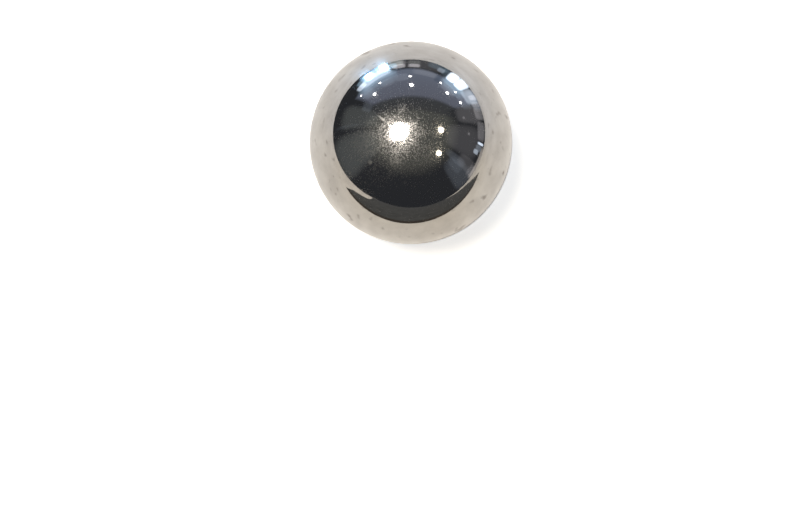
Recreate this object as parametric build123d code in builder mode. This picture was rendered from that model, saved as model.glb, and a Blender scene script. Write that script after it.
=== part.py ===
from build123d import *
import os

# Polished steel ball, in millimetres. The centre is the origin and +Z is up.

# Driving dimension: a one-inch stock ball
ball_diameter = 25.4

ball_radius = ball_diameter / 2

# The ball is one solid, ground and lapped all over: a half disc turned about the vertical axis
with BuildPart() as ball:
    with BuildSketch(Plane.XZ):
        with BuildLine():
            meridian = CenterArc((0, 0), ball_radius, start_angle=-90, arc_size=180)
            Line(meridian @ 1, meridian @ 0)
        make_face()
    revolve(axis=Axis.Z)
ball.part.label = "ball"

os.makedirs("parts", exist_ok=True)
export_step(ball.part, "parts/ball.step")
print(f"ball: diameter {ball_diameter} mm, volume {ball.part.volume:.1f} mm3")
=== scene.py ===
"""A polished steel ball on a pale stone floor, under the lamps of a dim studio."""

import math

import bpy
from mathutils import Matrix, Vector


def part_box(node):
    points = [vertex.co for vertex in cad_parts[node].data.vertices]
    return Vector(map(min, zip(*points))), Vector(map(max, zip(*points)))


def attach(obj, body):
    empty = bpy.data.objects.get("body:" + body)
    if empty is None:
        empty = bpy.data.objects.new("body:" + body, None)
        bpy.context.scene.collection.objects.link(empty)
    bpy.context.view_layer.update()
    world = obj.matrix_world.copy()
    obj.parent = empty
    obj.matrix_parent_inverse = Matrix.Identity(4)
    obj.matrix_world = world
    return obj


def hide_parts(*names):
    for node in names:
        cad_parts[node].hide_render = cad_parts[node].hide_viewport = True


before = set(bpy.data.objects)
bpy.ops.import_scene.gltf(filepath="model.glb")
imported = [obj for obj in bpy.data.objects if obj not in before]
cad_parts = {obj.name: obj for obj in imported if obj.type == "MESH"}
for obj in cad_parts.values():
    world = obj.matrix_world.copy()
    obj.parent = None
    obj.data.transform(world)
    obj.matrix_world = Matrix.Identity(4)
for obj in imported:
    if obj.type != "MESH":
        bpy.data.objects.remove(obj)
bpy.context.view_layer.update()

# The ball's size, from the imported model, in metres
ball_low, ball_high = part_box("ball")
ball_radius = (ball_high.z - ball_low.z) / 2

# The cube that swells into the ball has this many points along a side, so that the mirror shows no facets
points_along_side = 97

# The picture's frame and the ball's place in it, in pixels
frame_width_px = 800
frame_height_px = 523
ball_x_px = 410.9
ball_y_px = 142.9
ball_radius_px = 101.2

# The camera: its elevation in degrees, its lens and sensor in millimetres, its nearest sight in metres
camera_elevation = 74
camera_lens_mm = 100
sensor_width_mm = 36
camera_clip_start = 0.01

# Nearly all of a noise texture lies between these
noise_low = 0.3
noise_high = 0.7

# Marks of handling, as they lie on a ball of this radius, in millimetres, and they grow with the ball
marked_radius_mm = 12.7

# Each mark's middle and reach in millimetres, its turn in radians and its weight in the film
handling_marks = (
    # A broad smear on the crown, and one on each of two sides
    ((-2.0, -3.8, 12.0), (9.8, 8.8, 9.2), 0.5, 0.17),
    ((9.0, 5.0, 4.0), (6.0, 5.0, 8.0), 0.3, 0.08),
    ((-6.0, 10.0, 0.0), (5.0, 6.0, 7.0), 0.9, 0.08),
    # Small smears round the crown
    ((-2.0, -5.2, 11.4), (1.4, 1.8, 1.6), 0.0, 0.08),
    ((-1.0, 0.9, 12.6), (0.9, 0.9, 0.9), 0.0, 0.12),
    ((1.2, -2.2, 12.5), (1.0, 1.0, 1.0), 0.0, 0.05),
    ((-6.6, -2.8, 10.6), (3.0, 3.0, 3.0), 0.0, 0.07),
    ((0.5, -1.3, 12.6), (0.7, 0.7, 0.7), 0.0, 0.05),
    # Spots that were wiped
    ((-1.7, -3.6, 12.0), (1.8, 1.0, 1.2), 0.0, -0.03),
    ((0.7, -3.8, 12.1), (1.2, 0.9, 1.0), 0.0, -0.02),
    ((-3.6, -1.4, 12.1), (1.2, 1.1, 1.1), 0.0, -0.02),
    ((-0.2, -0.4, 12.7), (1.0, 0.9, 0.9), 0.0, -0.05),
    ((-4.4, -3.4, 11.4), (1.4, 1.4, 1.4), 0.0, -0.04),
    ((1.8, 0.0, 12.6), (1.0, 0.9, 0.9), 0.0, -0.04),
    # A short streak, and one dried drop
    ((-3.55, -0.4, 12.2), (0.85, 0.17, 0.8), -0.75, 0.4),
    ((-4.9, -5.4, 10.4), (0.35, 0.35, 0.35), 0.0, 0.6),
)

# The floor, the dark flag, and its hem of painted shade, by corners in ball radii across and away from the
# ball
floor_corners = ((-13.5, -25), (80, -25), (80, 45), (-13.5, 45))
flag_corners = ((-17, -25), (14.5, -25), (17.5, -13), (10.6, -4.4), (-4.5, -2.9), (-6.0, -4.9),
                (-6.5, -8.4), (-8.0, -11.5))
painted_shade_corners = ((-4.7, -3.4), (10.8, -4.9), (10.6, -4.4), (-4.5, -2.9))

# How far the flag and its hem of painted shade lie above the floor, in ball radii
flag_lift = 0.02
painted_shade_lift = 0.03

# The ceiling's height above the ball, in metres
ceiling_height = 2.4

# Lamps under the ceiling: name, brightness, colour, width in metres, and places in ceiling heights across and
# away from the ball. A brightness of 1 is white. The places were measured, not chosen: a program traced the
# middles of the highlights in the picture back by way of the ball. Only the last small lamp's place was not
# traced.
lamp_rows = (
    ("main_lamp", 28, "#FFF8EE", 0.78, ((-0.23, -0.07),)),
    ("small_lamp", 10, "#FFFFFF", 0.24, ((-1.12, 1.27), (0.01, 1.29), (1.15, 1.35), (1.9, 1.31))),
    ("small_lamp", 10, "#FFFFFF", 0.2,
     ((-2.4, 2.07), (-1.18, 2.08), (-0.03, 2.07), (1.11, 2.03), (1.9, 1.96))),
    ("warm_lamp", 12, "#FFF4DC", 0.3, ((0.66, 0.01), (0.69, -0.55))),
)

# The ceiling's colour along the view, by ceiling heights away from the ball
ceiling_bands = (
    (-3.0, "#222327"), (-1.6, "#444442"), (-0.6, "#5E5F5B"), (0.34, "#60625F"),
    (0.42, "#4E5052"), (0.71, "#4C4F53"), (0.83, "#767B8B"), (3.0, "#818B9F"),
)
wall_colour = "#34363A"

# Tints of the lit panels
sky, cool, glow = "#9DD0FF", "#DCEBFF", "#BCE2FF"
pale, green, stone = "#E4E2E8", "#DCE4E0", "#E0D8D0"

# Lit panels that the mirror shows: middle and reach in degrees round and up, brightness and tint.
# 0 degrees round is the far side and 90 is the right. A brightness under 0 takes light away.
lit_panels = (
    # The left soft box, in panes, with its glow on the ceiling
    ((-19.4, 3), (3, 7), 65, sky),
    ((-31.8, 4.5), (3.4, 5.5), 52, sky),
    ((-20.5, 3), (5.4, 10), 1.5, sky),
    ((-30, 4), (9, 9), 1.3, sky),
    ((-19.6, 3), (4.2, 8.5), 2, sky),
    ((-31.8, 4.5), (4.8, 7), 2, sky),
    ((-29, 10.5), (15, 6.5), 1.0, cool),
    ((-42, 9.5), (5, 4), 1.2, cool),
    ((-38.5, 5), (5, 5), 0.5, glow),
    ((-26.5, 4.5), (4, 7), 0.8, cool),
    ((-29, 15), (18, 5), 0.25, glow),
    ((-30, 17), (20, 8), 0.18, glow),
    ((-9, 26), (8, 6), 0.11, cool),
    ((-23, 27), (8, 6), 0.1, cool),
    ((-44, 24), (7, 7), 0.11, cool),
    ((-58, 33.5), (6, 7), 0.09, cool),
    ((-31, 19), (21, 12), 0.12, glow),
    # The right soft box, in panes, with its pale frame and its glow
    ((32.4, 6), (4.3, 9), 3, cool),
    ((41, 6), (4.8, 10), 2.8, cool),
    ((36.5, 5), (6, 10), 1.3, cool),
    ((52, 7.5), (8, 9.5), 0.75, cool),
    ((53.5, 4), (2.5, 6), 0.5, pale),
    ((55.5, 3.5), (10, 8), 0.24, cool),
    ((55, 17), (9, 9), 0.1, cool),
    ((38, 15), (11, 6), 0.4, glow),
    ((39, 17), (14, 9), 0.2, glow),
    ((38, 24), (10, 6), 0.17, cool),
    ((24.5, 20), (3.5, 6), -0.07, pale),
    ((26, 5), (3, 8), 0.1, glow),
    ((22.5, 5.5), (3.2, 4.5), 0.36, cool),
    # The far wall
    ((-9, 8.2), (5.5, 3.8), 0.75, pale),
    ((-11, 1.5), (6.5, 6.5), 0.5, green),
    ((-14, 5.5), (4.5, 5), 0.75, glow),
    ((-7, 3), (4, 4), 0.2, pale),
    ((2.5, 8.5), (5, 3.2), 0.7, pale),
    ((2.5, 3), (5, 4), 0.15, green),
    ((7, 5), (18, 9), 0.1, pale),
    ((20, 2), (9, 6), 0.13, glow),
    ((12, 18), (12, 5), 0.12, pale),
    # The right wall
    ((59.5, 4), (2.5, 7), 0.3, pale),
    ((67, 5), (6, 7), 0.27, pale),
    ((82, 5), (9, 6), 0.24, pale),
    ((92.3, 4.5), (1.3, 5), 1.8, cool),
    ((96.5, 6), (3, 5), 0.25, cool),
    ((100.5, 8.5), (2.4, 4), 0.7, cool),
    ((68, 20), (10, 18), 0.13, pale),
    ((95, 28), (18, 24), 0.09, pale),
    ((127, 16), (12, 22), 0.08, cool),
    ((118, 29), (5, 16), 0.08, cool),
    ((125, 25), (5, 12), 0.05, cool),
    ((117, 3.5), (6, 5), 0.13, pale),
    ((115, 14), (7, 14), 0.09, pale),
    ((108, -1.5), (16, 4.6), 0.6, stone),
    ((71.3, 27), (1.6, 1.6), 0.25, pale),
    ((87.4, 22.4), (1.6, 1.6), 0.25, pale),
    # The left wall
    ((-71, 28), (13, 26), 0.1, green),
    ((-79, 15), (1.6, 20), 0.035, cool),
    ((-105, 22), (21, 34), 0.11, green),
)


def linear(code):
    """An sRGB hex colour as linear red, green, blue and alpha."""
    parts = [int(code[i:i + 2], 16) / 255 for i in (1, 3, 5)]
    return [c / 12.92 if c <= 0.04045 else ((c + 0.055) / 1.055) ** 2.4 for c in parts] + [1.0]


def add(tree, kind, inputs=None, **settings):
    """A new node with these settings, whose inputs are plain values or other nodes' outputs."""
    node = tree.nodes.new(kind)
    for name, value in settings.items():
        setattr(node, name, value)
    for name, value in (inputs or {}).items():
        if isinstance(value, bpy.types.NodeSocket):
            tree.links.new(value, node.inputs[name])
        else:
            node.inputs[name].default_value = value
    return node


def cells(size_mm):
    """The texture scale, in cells for each metre, at which one cell is this many millimetres."""
    return 1000 / size_mm


# Materials


def lapped_bearing_steel():
    """Bearing steel, ground and lapped to a mirror and then handled.

    The eye gets a sharp mirror image under a thin film of skin oil. The film is a fine grain of droplets that
    lies in clouds and smears, and it scatters each lamp into a ragged glow.
    """
    # Drawn about ten times coarser than real droplets, about a pixel each, so that they show as grain
    droplet_mm = 0.085
    thickness_mm = 0.13
    # The clouds that they gather in: size in millimetres and weight
    oil_clouds = ((0.34, 0.15), (1.2, 0.14), (4.0, 0.2))
    # A mark is whole within this share of its reach, and fades out from there
    whole_share = 0.2
    # Droplets, clouds and marks are heaped up: steel is bare at the one height and covered at the other
    bare_height = 0.865
    covered_height = 1.085
    # The roughness of bare steel, and what a thin and a thick droplet add to it
    bare_roughness = 0.035
    thin_roughness = 0.2
    thick_roughness = 0.42

    material = bpy.data.materials.new("lapped_bearing_steel")
    material.use_nodes = True
    tree = material.node_tree
    shader = tree.nodes["Principled BSDF"]
    shader.inputs["Metallic"].default_value = 1.0
    place = add(tree, "ShaderNodeTexCoord").outputs["Object"]
    droplets = add(tree, "ShaderNodeTexNoise", {"Vector": place, "Scale": cells(droplet_mm), "Detail": 1.0})
    heap = droplets.outputs["Fac"]
    for size_mm, weight in oil_clouds:
        cloud = add(tree, "ShaderNodeTexNoise", {"Vector": place, "Scale": cells(size_mm), "Detail": 2.0})
        heap = add(tree, "ShaderNodeMath", {0: cloud.outputs["Fac"], 1: weight, 2: heap},
                   operation="MULTIPLY_ADD").outputs["Value"]
    mark_scale = ball_radius / marked_radius_mm
    for middle_mm, reach_mm, turn, weight in handling_marks:
        local = add(tree, "ShaderNodeMapping", {"Vector": place, "Location": Vector(middle_mm) * mark_scale,
                                                "Rotation": (0, 0, turn),
                                                "Scale": Vector(reach_mm) * mark_scale},
                    vector_type="TEXTURE")
        out = add(tree, "ShaderNodeVectorMath", {0: local.outputs["Vector"]}, operation="LENGTH")
        mark = add(tree, "ShaderNodeMapRange", {"Value": out.outputs["Value"], "From Min": 1.0,
                                                "From Max": whole_share, "To Max": weight},
                   interpolation_type="SMOOTHSTEP")
        heap = add(tree, "ShaderNodeMath", {0: mark.outputs["Result"], 1: heap},
                   operation="ADD").outputs["Value"]
    film = add(tree, "ShaderNodeMapRange", {"Value": heap, "From Min": bare_height,
                                            "From Max": covered_height},
               interpolation_type="SMOOTHSTEP").outputs["Result"]

    thickness = add(tree, "ShaderNodeTexNoise", {"Vector": place, "Scale": cells(thickness_mm)})
    scatter = add(tree, "ShaderNodeMapRange", {"Value": thickness.outputs["Fac"], "From Min": noise_low,
                                               "From Max": noise_high, "To Min": thin_roughness,
                                               "To Max": thick_roughness})
    roughness = add(tree, "ShaderNodeMath", {0: film, 1: scatter.outputs["Result"], 2: bare_roughness},
                    operation="MULTIPLY_ADD")
    tree.links.new(roughness.outputs["Value"], shader.inputs["Roughness"])
    colour = add(tree, "ShaderNodeMix", {"Factor": film, "A": linear("#C3C1BF"), "B": linear("#BDBAB6")},
                 data_type="RGBA")
    tree.links.new(colour.outputs["Result"], shader.inputs["Base Color"])
    return material


def pale_stone():
    """Honed pale stone, warmer near than far: the far side's cool tint is painted daylight from the soft
    boxes.

    The camera gets a plain white floor with the ball's shadow on it. The mirror alone shows the stone's brown
    specks and clouds.
    """
    # One noise cell, for specks and for clouds, where the ball's rim mirrors the stone, this far from the ball
    speck_mm = 3.8
    cloud_mm = 8.55
    mirrored_mm = 34.2
    # A round mirror shortens what points at it, so they are drawn longer that way: 1 divided by this share
    toward_share = 0.36
    # Only the noise's peaks are specks, from this edge to this core. The weights are shares of the brown.
    speck_edge = 0.64
    speck_core = 0.84
    speck_weight = 0.7
    cloud_weight = 0.3
    # The stone glows this much for the camera, and by this share of it for the mirror
    lift_strength = 0.65
    mirror_share = 0.2
    # Painted daylight: warm turns to cool between this far on the near side and as far on the far side
    turn_reach = 3 * ball_radius

    material = bpy.data.materials.new("pale_stone")
    material.use_nodes = True
    tree = material.node_tree
    tree.nodes.clear()
    place = add(tree, "ShaderNodeTexCoord").outputs["Object"]
    path = add(tree, "ShaderNodeLightPath").outputs
    level = add(tree, "ShaderNodeVectorMath", {0: place, 1: (1, 1, 0)},
                operation="MULTIPLY").outputs["Vector"]
    distance = add(tree, "ShaderNodeVectorMath", {0: level}, operation="LENGTH").outputs["Value"]
    steps = add(tree, "ShaderNodeMath", {0: distance, 1: math.e}, operation="LOGARITHM").outputs["Value"]
    facing = add(tree, "ShaderNodeVectorMath", {0: level}, operation="NORMALIZE").outputs["Vector"]
    around = add(tree, "ShaderNodeVectorMath", {0: steps, 1: (0, 0, toward_share), 2: facing},
                 operation="MULTIPLY_ADD").outputs["Vector"]
    specks = add(tree, "ShaderNodeTexNoise", {"Vector": around, "Scale": mirrored_mm / speck_mm,
                                              "Detail": 1.0})
    speckle = add(tree, "ShaderNodeMapRange", {"Value": specks.outputs["Fac"], "From Min": speck_edge,
                                               "From Max": speck_core, "To Max": speck_weight})
    clouds = add(tree, "ShaderNodeTexNoise", {"Vector": around, "Scale": mirrored_mm / cloud_mm,
                                              "Detail": 3.0, "Roughness": 0.6})
    mottle = add(tree, "ShaderNodeMapRange", {"Value": clouds.outputs["Fac"], "From Min": noise_low,
                                              "From Max": noise_high, "To Max": cloud_weight})
    marks = add(tree, "ShaderNodeMath", {0: speckle.outputs["Result"], 1: mottle.outputs["Result"]},
                operation="ADD")
    shown = add(tree, "ShaderNodeMath", {0: marks.outputs["Value"], 1: path["Is Glossy Ray"]},
                operation="MULTIPLY")
    # Painted light: a cooler colour towards the far side stands in for the soft boxes' bluish daylight on it
    away = add(tree, "ShaderNodeSeparateXYZ", {"Vector": place}).outputs["Y"]
    painted_daylight = add(tree, "ShaderNodeMapRange", {"Value": away, "From Min": -turn_reach,
                                                "From Max": turn_reach})
    ground = add(tree, "ShaderNodeMix", {"Factor": painted_daylight.outputs["Result"], "A": linear("#EBE4D8"),
                                         "B": linear("#EEEDED")}, data_type="RGBA")
    colour = add(tree, "ShaderNodeMix", {"Factor": shown.outputs["Value"], "A": ground.outputs["Result"],
                                         "B": linear("#857A70")}, data_type="RGBA")
    honed = add(tree, "ShaderNodeBsdfPrincipled", {"Base Color": colour.outputs["Result"], "Roughness": 0.5,
                                                   "Specular IOR Level": 0.2})
    seen = add(tree, "ShaderNodeMath", {0: path["Is Glossy Ray"], 1: mirror_share, 2: path["Is Camera Ray"]},
               operation="MULTIPLY_ADD")
    strength = add(tree, "ShaderNodeMath", {0: seen.outputs["Value"], 1: lift_strength}, operation="MULTIPLY")
    lift = add(tree, "ShaderNodeEmission", {"Strength": strength.outputs["Value"]})
    both = add(tree, "ShaderNodeAddShader", {0: honed.outputs["BSDF"], 1: lift.outputs["Emission"]})
    add(tree, "ShaderNodeOutputMaterial", {"Surface": both.outputs["Shader"]})
    return material


def dark_felt_and_painted_shade(fresh, worn):
    """Pressed dark felt, a quite dull cloth with a nap rubbed paler in patches; in darker colours, painted
    shade.
    """
    patch_mm = 9
    material = bpy.data.materials.new("dark_felt_and_painted_shade")
    material.use_nodes = True
    tree = material.node_tree
    shader = tree.nodes["Principled BSDF"]
    shader.inputs["Roughness"].default_value = 1.0
    place = add(tree, "ShaderNodeTexCoord").outputs["Object"]
    nap = add(tree, "ShaderNodeTexNoise", {"Vector": place, "Scale": cells(patch_mm), "Detail": 3.0})
    rubbed = add(tree, "ShaderNodeMapRange", {"Value": nap.outputs["Fac"], "From Min": noise_low,
                                              "From Max": noise_high})
    colour = add(tree, "ShaderNodeMix", {"Factor": rubbed.outputs["Result"], "A": linear(fresh),
                                         "B": linear(worn)}, data_type="RGBA")
    tree.links.new(colour.outputs["Result"], shader.inputs["Base Color"])
    return material


# The ball


def spherified_cube():
    """A tree that swells a cube into a ball of even quads, with no pole."""
    tree = bpy.data.node_groups.new("spherified_cube", "GeometryNodeTree")
    tree.interface.new_socket("Radius", in_out="INPUT", socket_type="NodeSocketFloat")
    tree.interface.new_socket("Points Along A Side", in_out="INPUT", socket_type="NodeSocketInt")
    tree.interface.new_socket("Material", in_out="INPUT", socket_type="NodeSocketMaterial")
    tree.interface.new_socket("Geometry", in_out="OUTPUT", socket_type="NodeSocketGeometry")
    given = add(tree, "NodeGroupInput").outputs
    points = given["Points Along A Side"]
    cube = add(tree, "GeometryNodeMeshCube", {"Size": (2.0, 2.0, 2.0), "Vertices X": points,
                                              "Vertices Y": points, "Vertices Z": points})
    place = add(tree, "GeometryNodeInputPosition").outputs["Position"]

    # Equal steps along a side become equal angles, and each point then moves out to the radius
    angle = add(tree, "ShaderNodeVectorMath", {0: place, "Scale": math.pi / 4}, operation="SCALE")
    spread = add(tree, "ShaderNodeVectorMath", {0: angle.outputs["Vector"]}, operation="TANGENT")
    outward = add(tree, "ShaderNodeVectorMath", {0: spread.outputs["Vector"]}, operation="NORMALIZE")
    surface = add(tree, "ShaderNodeVectorMath", {0: outward.outputs["Vector"], "Scale": given["Radius"]},
                  operation="SCALE")
    ball = add(tree, "GeometryNodeSetPosition", {"Geometry": cube.outputs["Mesh"],
                                                 "Position": surface.outputs["Vector"]})
    smooth = add(tree, "GeometryNodeSetShadeSmooth", {"Geometry": ball.outputs["Geometry"]})
    whole = add(tree, "GeometryNodeRealizeInstances", {"Geometry": smooth.outputs["Geometry"]})
    painted = add(tree, "GeometryNodeSetMaterial", {"Geometry": whole.outputs["Geometry"],
                                                    "Material": given["Material"]})
    add(tree, "NodeGroupOutput", {"Geometry": painted.outputs["Geometry"]})
    return tree


def steel_ball():
    """The ball as one plain mesh in its place."""
    tree = spherified_cube()
    values = {"Radius": ball_radius, "Points Along A Side": points_along_side,
              "Material": lapped_bearing_steel()}
    maker = bpy.data.objects.new("ball_maker", bpy.data.meshes.new("ball_maker"))
    bpy.context.scene.collection.objects.link(maker)
    modifier = maker.modifiers.new("spherified_cube", "NODES")
    modifier.node_group = tree
    for socket in tree.interface.items_tree:
        if socket.name in values:
            modifier[socket.identifier] = values[socket.name]
    view = bpy.context.evaluated_depsgraph_get()
    mesh = bpy.data.meshes.new_from_object(maker.evaluated_get(view))
    mesh.name = "polished_ball"
    bpy.data.objects.remove(maker)
    ball = bpy.data.objects.new("polished_ball", mesh)
    bpy.context.scene.collection.objects.link(ball)
    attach(ball, "root")
    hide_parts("ball")


# The studio


def sheet(name, corners, lift, material):
    """A level stage sheet, with its corners and its lift above the floor in ball radii."""
    height = lift * ball_radius - ball_radius
    mesh = bpy.data.meshes.new(name)
    points = [(x * ball_radius, y * ball_radius, height) for x, y in corners]
    mesh.from_pydata(points, [], [range(len(corners))])
    mesh.materials.append(material)
    made = bpy.data.objects.new(name, mesh)
    bpy.context.scene.collection.objects.link(made)
    return made


def flag(name, corners, lift, material):
    """A dark sheet that the mirror alone shows: it shades nothing, and the camera doesn't see it."""
    made = sheet(name, corners, lift, material)
    made.visible_camera = False
    made.visible_shadow = False
    made.visible_diffuse = False


def lamp(name, place, brightness, colour, width):
    """A round lamp aimed at the ball, which the mirror shows and the camera doesn't."""
    data = bpy.data.lights.new(name, "AREA")
    data.shape = "DISK"
    data.size = width
    # The energy at which the lamp's own disc has this brightness
    area = math.pi * width ** 2 / 4
    data.energy = 4 * area * brightness
    data.color = linear(colour)[:3]
    made = bpy.data.objects.new(name, data)
    made.location = place
    made.rotation_mode = "QUATERNION"
    made.rotation_quaternion = (-place).to_track_quat("-Z", "Y")
    made.visible_camera = False
    bpy.context.scene.collection.objects.link(made)


def banded_ceiling(tree, direction):
    """The ceiling's colour in bands across the view, palest far off, where the soft boxes light it."""
    # Directions lower than this count as this low, so that none is divided by nothing
    least_height = 0.02
    up = add(tree, "ShaderNodeSeparateXYZ", {"Vector": direction}).outputs["Z"]
    height = add(tree, "ShaderNodeMath", {0: up, 1: least_height}, operation="MAXIMUM").outputs["Value"]
    overhead = add(tree, "ShaderNodeVectorMath", {0: direction, 1: height}, operation="DIVIDE")
    away = add(tree, "ShaderNodeSeparateXYZ", {"Vector": overhead.outputs["Vector"]}).outputs["Y"]
    nearest = ceiling_bands[0][0]
    farthest = ceiling_bands[-1][0]
    share = add(tree, "ShaderNodeMapRange", {"Value": away, "From Min": nearest, "From Max": farthest})
    ramp = add(tree, "ShaderNodeValToRGB", {"Fac": share.outputs["Result"]})
    stops = ramp.color_ramp.elements
    places = [(row - nearest) / (farthest - nearest) for row, code in ceiling_bands]
    for place in places[1:-1]:
        stops.new(place)
    for stop, place, (row, code) in zip(stops, places, ceiling_bands):
        stop.position = place
        stop.color = linear(code)
    return ramp.outputs["Color"]


def dark_walls(tree, azimuth, elevation):
    """How far each direction is wall, from 0 to 1: the sides under the ceiling, and all round low down."""
    # In degrees: the room's turn, where the side walls begin, where they end upward, and the low walls' top
    room_turn = 3.5
    side_from, side_to = 54, 58
    high_from, high_to = 48, 34
    low_from, low_to = 16, 12
    aside = add(tree, "ShaderNodeMath", {0: azimuth, 1: math.radians(room_turn)}, operation="SUBTRACT")
    apart = add(tree, "ShaderNodeMath", {0: aside.outputs["Value"]}, operation="ABSOLUTE")
    side = add(tree, "ShaderNodeMapRange", {"Value": apart.outputs["Value"],
                                            "From Min": math.radians(side_from),
                                            "From Max": math.radians(side_to)})
    under = add(tree, "ShaderNodeMapRange", {"Value": elevation, "From Min": math.radians(high_from),
                                             "From Max": math.radians(high_to)})
    sides = add(tree, "ShaderNodeMath", {0: side.outputs["Result"], 1: under.outputs["Result"]},
                operation="MULTIPLY")
    below = add(tree, "ShaderNodeMapRange", {"Value": elevation, "From Min": math.radians(low_from),
                                             "From Max": math.radians(low_to)})
    wall = add(tree, "ShaderNodeMath", {0: sides.outputs["Value"], 1: below.outputs["Result"]},
               operation="MAXIMUM")
    return wall.outputs["Value"]


def with_panels(tree, azimuth, elevation, light):
    """The light with each lit panel added to it: a rounded square, brightest at its middle."""
    bearing = add(tree, "ShaderNodeCombineXYZ", {"X": azimuth, "Y": elevation}).outputs["Vector"]
    for middle, reach, brightness, tint in lit_panels:
        steps = [1 / math.radians(r) for r in reach] + [0]
        start = [-m / r for m, r in zip(middle, reach)] + [0]
        local = add(tree, "ShaderNodeVectorMath", {0: bearing, 1: steps, 2: start},
                    operation="MULTIPLY_ADD").outputs["Vector"]
        square = add(tree, "ShaderNodeVectorMath", {0: local, 1: local},
                     operation="MULTIPLY").outputs["Vector"]
        out = add(tree, "ShaderNodeVectorMath", {0: square, 1: square}, operation="DOT_PRODUCT")
        level = add(tree, "ShaderNodeMapRange", {"Value": out.outputs["Value"], "From Min": 1.0,
                                                 "From Max": 0.0, "To Max": brightness},
                    interpolation_type="SMOOTHSTEP")
        light = add(tree, "ShaderNodeVectorMath", {0: level.outputs["Result"], 1: linear(tint)[:3], 2: light},
                    operation="MULTIPLY_ADD").outputs["Vector"]
    return light


def dim_studio():
    """A world that is white to the camera, and to the mirror a dim studio with cool soft boxes."""
    world = bpy.data.worlds.new("dim_studio")
    bpy.context.scene.world = world
    world.use_nodes = True
    tree = world.node_tree
    tree.nodes.clear()
    direction = add(tree, "ShaderNodeTexCoord").outputs["Generated"]
    part = add(tree, "ShaderNodeSeparateXYZ", {"Vector": direction}).outputs
    azimuth = add(tree, "ShaderNodeMath", {0: part["X"], 1: part["Y"]}, operation="ARCTAN2").outputs["Value"]
    elevation = add(tree, "ShaderNodeMath", {0: part["Z"]}, operation="ARCSINE").outputs["Value"]
    unlit = add(tree, "ShaderNodeMix", {"Factor": dark_walls(tree, azimuth, elevation),
                                        "A": banded_ceiling(tree, direction), "B": linear(wall_colour)},
                data_type="RGBA")
    light = with_panels(tree, azimuth, elevation, unlit.outputs["Result"])
    room = add(tree, "ShaderNodeBackground", {"Color": light})
    white = add(tree, "ShaderNodeBackground", {"Color": linear("#FFFFFF")})
    path = add(tree, "ShaderNodeLightPath")
    either = add(tree, "ShaderNodeMixShader", {0: path.outputs["Is Camera Ray"],
                                               1: room.outputs["Background"],
                                               2: white.outputs["Background"]})
    add(tree, "ShaderNodeOutputWorld", {"Surface": either.outputs["Shader"]})


def studio():
    """The world, the floor, the flag that lies on it and the lamps."""
    dim_studio()
    sheet("floor", floor_corners, 0, pale_stone())
    flag("flag", flag_corners, flag_lift, dark_felt_and_painted_shade("#434444", "#535454"))
    # The hem: a darker strip along the flag's edge by the ball, painted shade where the flag meets the stone
    flag("flag_painted_shade", painted_shade_corners, painted_shade_lift, dark_felt_and_painted_shade("#352F2A", "#413B34"))
    for name, brightness, colour, width, places in lamp_rows:
        for across, away in places:
            lamp(name, Vector((across, away, 1)) * ceiling_height, brightness, colour, width)


def aim_camera():
    """The camera, at the picture's angle, with the ball at its place in the frame."""
    elevation = math.radians(camera_elevation)
    pixel_mm = sensor_width_mm / frame_width_px
    distance = ball_radius / math.sin(math.atan(ball_radius_px * pixel_mm / camera_lens_mm))
    data = bpy.data.cameras.new("camera")
    data.lens = camera_lens_mm
    data.sensor_width = sensor_width_mm
    data.clip_start = camera_clip_start
    camera = bpy.data.objects.new("camera", data)
    camera.location = Vector((0, -math.cos(elevation), math.sin(elevation))) * distance

    # The camera faces the ball, then turns until the ball is at its pixel
    aim = Vector(((ball_x_px - frame_width_px / 2) * pixel_mm,
                  (frame_height_px / 2 - ball_y_px) * pixel_mm, -camera_lens_mm))
    straight = (-camera.location).to_track_quat("-Z", "Y")
    camera.rotation_mode = "QUATERNION"
    camera.rotation_quaternion = straight @ aim.rotation_difference(Vector((0, 0, -1)))
    bpy.context.scene.collection.objects.link(camera)
    bpy.context.scene.camera = camera


bpy.context.scene.view_settings.view_transform = "Standard"
steel_ball()
studio()
aim_camera()
